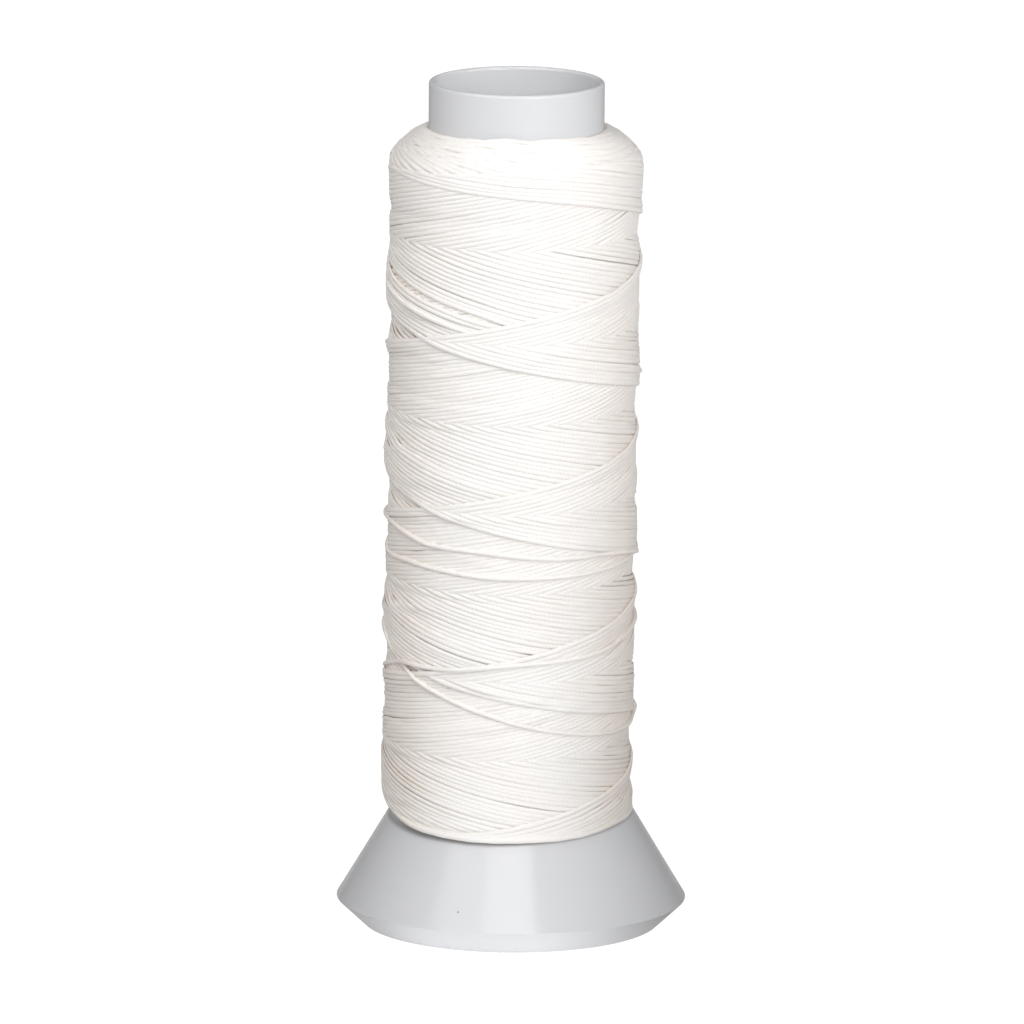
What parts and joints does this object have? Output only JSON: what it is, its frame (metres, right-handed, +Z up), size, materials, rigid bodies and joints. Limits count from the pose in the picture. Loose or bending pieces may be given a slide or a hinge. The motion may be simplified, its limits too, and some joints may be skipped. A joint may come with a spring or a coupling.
{
  "type": "reel of thread",
  "caption": "Tall reel of heavy ivory thread, cross-wound straight-sided on a hollow moulded spool with a flared foot, its loose end taken round it in slack turns.",
  "frame": {"origin": "on the spool's axis, in the plane that the foot stands on", "axes": "+Z up along the spool's axis, from the foot to the open end of the tube; -Y is the front, where the slack turns are seen best"},
  "size_m": [0.048, 0.048, 0.1172],
  "materials": {
    "spool_plastic": "smooth moulded plastic, soft gloss",
    "thread": "plied cotton thread, matt, warm ivory"
  },
  "bodies": {
    "root": {"spool": "spool_plastic", "thread_winding": "thread", "loose_end": "thread"}
  },
  "joints": []
}
